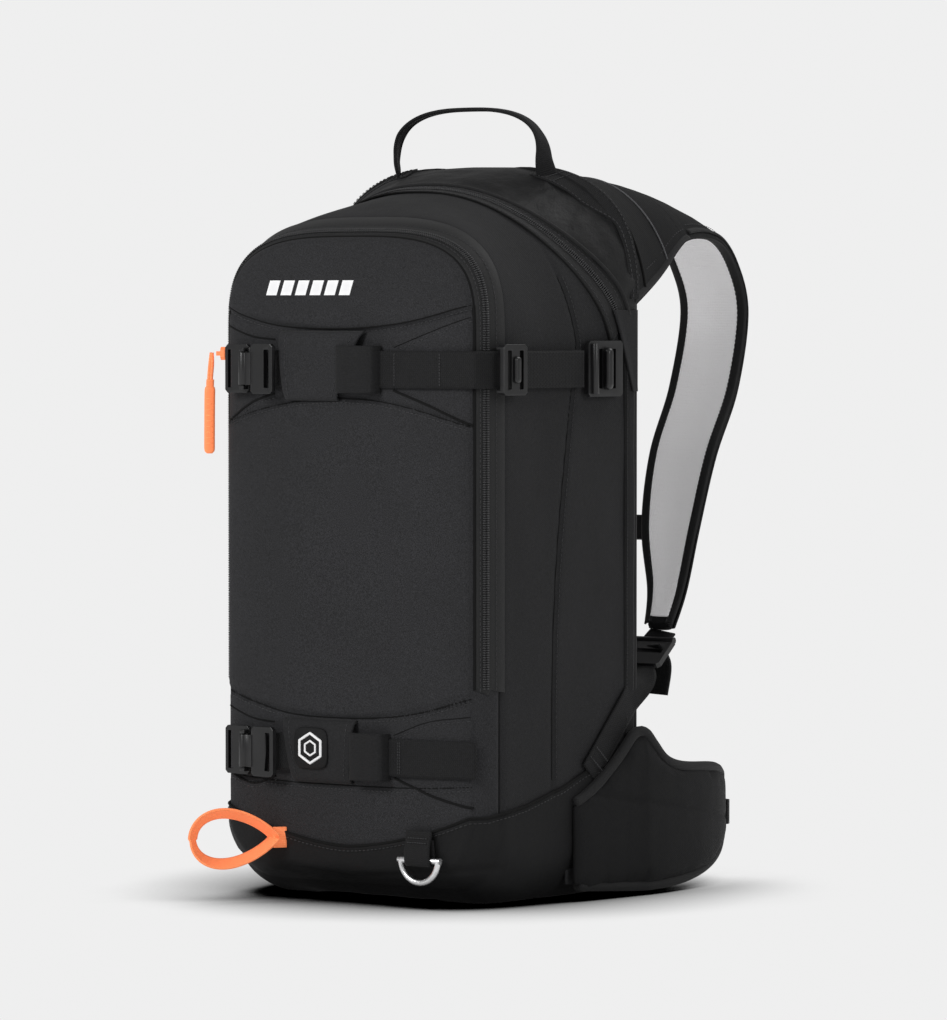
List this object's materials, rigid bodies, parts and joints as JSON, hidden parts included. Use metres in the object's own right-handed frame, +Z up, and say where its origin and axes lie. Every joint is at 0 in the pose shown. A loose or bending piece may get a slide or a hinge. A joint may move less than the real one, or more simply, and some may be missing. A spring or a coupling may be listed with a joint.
{
  "type": "avalanche airbag backpack",
  "caption": "Small ski-touring backpack with a front pocket, side compression straps, hip belt, shoulder straps and a folded airbag system with a pull handle.",
  "frame": {"origin": "on the ground under the middle of the bag's base", "axes": "+X towards the wearer's right, +Y the way the wearer faces, +Z up"},
  "size_m": [0.2922, 0.4253, 0.5428],
  "materials": {
    "heather_fabric": "matte heather weave",
    "base_fabric": "smooth coated weave",
    "gloss_fabric": "coated, slightly shiny, wrinkled",
    "black_webbing": "ribbed webbing",
    "zip_tape": "coated tape with coil",
    "orange_plastic": "moulded",
    "orange_fabric": "flat webbing or coated cloth",
    "reflective_print": "reflective",
    "alloy": "brushed",
    "cartridge_steel": "painted",
    "bright_metal": "brushed",
    "padded_fabric": "padded knit",
    "frame_plastic": "matte",
    "lining_fabric": "light woven lining",
    "black_plastic": "moulded, fine texture"
  },
  "bodies": {
    "pack": {"main_shell": "heather_fabric", "base_panel": "base_fabric", "airbag_cover": "gloss_fabric", "main_zip": "zip_tape", "front_pocket": "heather_fabric", "pocket_zip": "zip_tape", "strap_bridges": "heather_fabric", "front_label": "reflective_print", "front_badge": "reflective_print", "upper_strap": "black_webbing", "upper_keeper": "black_webbing", "upper_hook_plate": "black_plastic", "upper_triglide": "black_plastic", "lower_strap": "black_webbing", "lower_keeper": "black_webbing", "lower_hook_plate": "black_plastic", "back_pad": "padded_fabric", "lumbar_pad": "padded_fabric", "frame_sheet": "frame_plastic", "frame_stays": "bright_metal", "inner_sleeve": "lining_fabric", "tool_sleeves": "lining_fabric", "yoke_panel": "gloss_fabric", "strap_anchors": "black_webbing", "hip_bases": "padded_fabric", "d_ring_tab": "black_webbing", "airbag_balloon": "orange_fabric", "inflator": "black_plastic", "release_cable": "black_plastic"},
    "grab_handle": {"grab_handle": "black_webbing"},
    "pocket_slider": {"pocket_zip_slider": "orange_plastic"},
    "pocket_pull": {"pocket_zip_pull": "orange_plastic"},
    "top_slider": {"main_zip_slider": "black_plastic"},
    "top_pull": {"main_zip_pull": "black_plastic"},
    "upper_hook": {"upper_hook_frame": "black_plastic"},
    "lower_hook": {"lower_hook_frame": "black_plastic"},
    "side_buckle": {"upper_side_buckle": "black_plastic"},
    "fin_right": {"hip_fin_right": "padded_fabric", "hip_webbing_right": "black_webbing", "hip_buckle_male": "alloy"},
    "fin_left": {"hip_fin_left": "padded_fabric", "hip_webbing_left": "black_webbing", "hip_buckle_female": "alloy"},
    "hip_button": {"hip_buckle_button": "orange_plastic"},
    "strap_right": {"shoulder_strap_right": "padded_fabric", "chest_rail_right": "black_plastic"},
    "strap_left": {"shoulder_strap_left": "padded_fabric", "chest_rail_left": "black_plastic", "handle_pouch": "padded_fabric"},
    "chest_right": {"chest_slider_right": "black_webbing", "chest_buckle_female": "black_plastic"},
    "chest_left": {"chest_slider_left": "black_webbing", "chest_buckle_male": "black_plastic"},
    "lock_right": {"ladder_lock_right": "black_plastic"},
    "lock_left": {"ladder_lock_left": "black_plastic"},
    "loop": {"ski_loop": "orange_fabric"},
    "ring": {"d_ring": "alloy"},
    "cartridge": {"gas_cartridge": "cartridge_steel"},
    "pin": {"piercing_pin": "bright_metal"},
    "pull_handle": {"release_handle": "orange_plastic"}
  },
  "joints": [
    {"name": "handle_fold", "type": "hinge", "parent": "pack", "child": "grab_handle", "pos_m": [0, 0.058, 0.505], "axis": [1, 0, 0], "range_deg": [-55, 60]},
    {"name": "pocket_zip_run", "type": "slide", "parent": "pack", "child": "pocket_slider", "axis": [0, 0, -1], "range_m": [0, 0.21]},
    {"name": "pocket_pull_swing", "type": "hinge", "parent": "pocket_slider", "child": "pocket_pull", "pos_m": [-0.1181, -0.0806, 0.372], "axis": [-0.375, 0.927, 0], "range_deg": [0, 100]},
    {"name": "top_zip_run", "type": "hinge", "parent": "pack", "child": "top_slider", "pos_m": [0, 0.0694, 0.379], "axis": [0, 0.8387, 0.5446], "range_deg": [0, 148]},
    {"name": "top_pull_swing", "type": "hinge", "parent": "top_slider", "child": "top_pull", "pos_m": [-0.13157, 0.05235, 0.41759], "axis": [0, 1, 0], "range_deg": [0, 100]},
    {"name": "upper_hook_tip", "type": "hinge", "parent": "pack", "child": "upper_hook", "pos_m": [-0.07581, -0.10246, 0.362], "axis": [0, 0, -1], "range_deg": [0, 40]},
    {"name": "lower_hook_tip", "type": "hinge", "parent": "pack", "child": "lower_hook", "pos_m": [-0.07573, -0.10251, 0.101], "axis": [0, 0, -1], "range_deg": [0, 40]},
    {"name": "side_buckle_tilt", "type": "hinge", "parent": "pack", "child": "side_buckle", "pos_m": [0.12937, 0.02315, 0.362], "axis": [0, 0, -1], "range_deg": [0, 35]},
    {"name": "fin_right_fold", "type": "hinge", "parent": "pack", "child": "fin_right", "pos_m": [0.1436, 0.0704, 0.05], "axis": [0, 0, -1], "range_deg": [-4, 60]},
    {"name": "fin_left_fold", "type": "hinge", "parent": "pack", "child": "fin_left", "pos_m": [-0.1436, 0.0704, 0.05], "axis": [0, 0, 1], "range_deg": [-4, 60]},
    {"name": "hip_button_press", "type": "slide", "parent": "fin_left", "child": "hip_button", "axis": [0, -1, 0], "range_m": [0, 0.002]},
    {"name": "strap_right_swing", "type": "hinge", "parent": "pack", "child": "strap_right", "pos_m": [0.0845, 0.1565, 0.471], "axis": [0.8857, -0.0385, -0.4626], "range_deg": [0, 15]},
    {"name": "strap_left_swing", "type": "hinge", "parent": "pack", "child": "strap_left", "pos_m": [-0.0845, 0.1565, 0.471], "axis": [0.8857, 0.0385, 0.4626], "range_deg": [0, 15]},
    {"name": "chest_height", "type": "slide", "parent": "strap_right", "child": "chest_right", "axis": [0, 0.5373, 0.8434], "range_m": [-0.02, 0.02]},
    {"name": "chest_height_left", "type": "slide", "parent": "strap_left", "child": "chest_left", "axis": [0, 0.5373, 0.8434], "range_m": [-0.02, 0.02]},
    {"name": "lock_right_tilt", "type": "hinge", "parent": "strap_right", "child": "lock_right", "pos_m": [0.112, 0.12324, 0.17191], "axis": [1, 0, 0], "range_deg": [0, 35]},
    {"name": "lock_left_tilt", "type": "hinge", "parent": "strap_left", "child": "lock_left", "pos_m": [-0.112, 0.12324, 0.17191], "axis": [1, 0, 0], "range_deg": [0, 35]},
    {"name": "ski_loop_lift", "type": "hinge", "parent": "pack", "child": "loop", "pos_m": [-0.055, -0.093, 0.042], "axis": [-0.7986, 0.6018, 0], "range_deg": [-10, 24]},
    {"name": "d_ring_lift", "type": "hinge", "parent": "pack", "child": "ring", "pos_m": [0.066, -0.094, 0.033], "axis": [-1, 0, 0], "range_deg": [0, 110]},
    {"name": "cartridge_turn", "type": "hinge", "parent": "pack", "child": "cartridge", "pos_m": [-0.082, 0.02, 0.096], "axis": [0, 0, 1], "range_deg": [0, 360]},
    {"name": "handle_pull", "type": "slide", "parent": "strap_left", "child": "pull_handle", "axis": [0, -0.2419, -0.9703], "range_m": [0, 0.045]},
    {"name": "pin_stroke", "type": "slide", "parent": "pack", "child": "pin", "axis": [0, 0, -1], "range_m": [0, 0.0045]}
  ],
  "couplings": [
    {"joint": "strap_left_swing", "follows": "strap_right_swing", "ratio": 1},
    {"joint": "chest_height_left", "follows": "chest_height", "ratio": 1},
    {"joint": "pin_stroke", "follows": "handle_pull", "ratio": 0.1}
  ]
}
